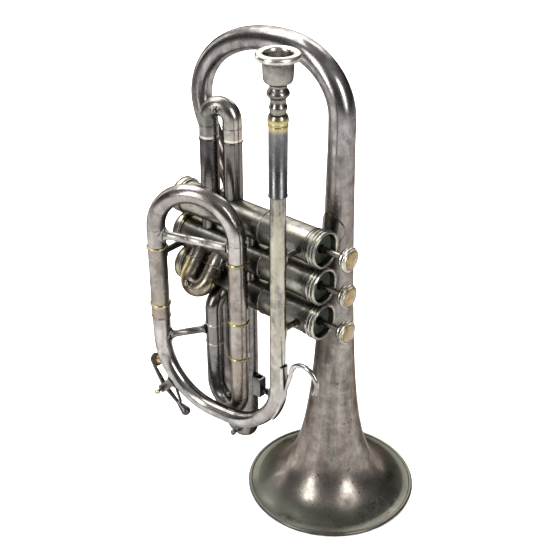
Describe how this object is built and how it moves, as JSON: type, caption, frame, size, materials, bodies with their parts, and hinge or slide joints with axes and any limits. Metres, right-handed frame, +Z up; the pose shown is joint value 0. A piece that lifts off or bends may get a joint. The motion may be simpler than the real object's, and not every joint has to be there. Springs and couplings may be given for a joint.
{
  "type": "cornet",
  "caption": "Piston-valve cornet in tarnished silver plate, standing on its bell, with pull slides, sprung valves, a water key and a mouthpiece.",
  "frame": {"origin": "centre of the bell rim, on the surface the instrument stands on", "axes": "+Z up the bell axis towards the mouthpiece, +X along the valves towards the finger buttons, -Y to the side of the leadpipe and main tuning slide"},
  "size_m": [0.1771, 0.1416, 0.3395],
  "materials": {
    "silver_plate": "satin",
    "dark_silver": "satin",
    "polished_silver": "polished",
    "worn_brass": "satin",
    "spring_steel": "satin",
    "amber_pearl": "gloss",
    "green_felt": "matte",
    "cork": "matte"
  },
  "bodies": {
    "cornet_body": {"bell": "silver_plate", "rim_wire": "worn_brass", "bell_bow": "silver_plate", "bell_tail_ferrule": "dark_silver", "receiver": "silver_plate", "leadpipe": "silver_plate", "front_bow": "silver_plate", "lower_slide_sleeve": "silver_plate", "upper_slide_sleeve": "silver_plate", "return_bow": "dark_silver", "return_tube": "dark_silver", "first_slide_sleeves": "dark_silver", "second_slide_sleeves": "dark_silver", "third_slide_sleeves": "dark_silver", "valve_casing_1": "dark_silver", "valve_casing_2": "dark_silver", "valve_casing_3": "dark_silver", "top_caps": "silver_plate", "bottom_caps": "silver_plate", "knuckles": "dark_silver", "valve_guides": "worn_brass", "leadpipe_stays": "silver_plate", "bell_stays": "silver_plate", "casing_stay": "dark_silver", "lower_stay": "dark_silver", "finger_hook": "silver_plate", "lyre_box": "dark_silver", "water_key_saddle": "dark_silver", "water_nipple": "worn_brass", "water_key_screw": "silver_plate", "water_key_spring": "spring_steel", "valve_spring_1": "spring_steel", "valve_spring_2": "spring_steel", "valve_spring_3": "spring_steel"},
    "main_slide": {"main_slide": "silver_plate", "main_slide_stay": "silver_plate"},
    "first_slide": {"first_slide": "dark_silver"},
    "second_slide": {"second_slide": "worn_brass"},
    "third_slide": {"third_slide": "dark_silver"},
    "mouthpiece": {"mouthpiece": "polished_silver"},
    "water_key": {"water_key_lever": "silver_plate", "water_key_pad": "cork"},
    "lyre_screw": {"lyre_screw": "dark_silver"},
    "valve_1": {"piston_1": "polished_silver", "valve_stem_1": "polished_silver", "button_1": "polished_silver", "pearl_1": "amber_pearl", "felt_1": "green_felt"},
    "valve_2": {"piston_2": "polished_silver", "valve_stem_2": "polished_silver", "button_2": "polished_silver", "pearl_2": "amber_pearl", "felt_2": "green_felt"},
    "valve_3": {"piston_3": "polished_silver", "valve_stem_3": "polished_silver", "button_3": "polished_silver", "pearl_3": "amber_pearl", "felt_3": "green_felt"}
  },
  "joints": [
    {"name": "valve_1_press", "type": "slide", "parent": "cornet_body", "child": "valve_1", "axis": [-1, 0, 0], "range_m": [0, 0.015], "stiffness_N_per_m": 60, "springref_m": -0.03, "deforming": ["valve_spring_1"]},
    {"name": "valve_2_press", "type": "slide", "parent": "cornet_body", "child": "valve_2", "axis": [-1, 0, 0], "range_m": [0, 0.015], "stiffness_N_per_m": 60, "springref_m": -0.03, "deforming": ["valve_spring_2"]},
    {"name": "valve_3_press", "type": "slide", "parent": "cornet_body", "child": "valve_3", "axis": [-1, 0, 0], "range_m": [0, 0.015], "stiffness_N_per_m": 60, "springref_m": -0.03, "deforming": ["valve_spring_3"]},
    {"name": "main_slide_pull", "type": "slide", "parent": "cornet_body", "child": "main_slide", "axis": [0, 0, 1], "range_m": [0, 0.045]},
    {"name": "first_slide_pull", "type": "slide", "parent": "cornet_body", "child": "first_slide", "axis": [0, 0, 1], "range_m": [0, 0.028]},
    {"name": "second_slide_pull", "type": "slide", "parent": "cornet_body", "child": "second_slide", "axis": [0, -0.6428, -0.766], "range_m": [0, 0.012]},
    {"name": "third_slide_pull", "type": "slide", "parent": "cornet_body", "child": "third_slide", "axis": [0, 0, -1], "range_m": [0, 0.022]},
    {"name": "mouthpiece_pull", "type": "slide", "parent": "cornet_body", "child": "mouthpiece", "axis": [0, 0, 1], "range_m": [0, 0.03]},
    {"name": "water_key_press", "type": "hinge", "parent": "cornet_body", "child": "water_key", "pos_m": [-0.09512, -0.07094, 0.07823], "axis": [0.1025, -0.9947, 0], "range_deg": [0, 9], "stiffness_Nm_per_rad": 0.05, "springref_deg": -20.05, "deforming": ["water_key_spring"]},
    {"name": "lyre_screw_turn", "type": "hinge", "parent": "cornet_body", "child": "lyre_screw", "pos_m": [-0.04217, -0.0265, 0.076], "axis": [1, 0, 0], "range_deg": [0, 360]}
  ]
}
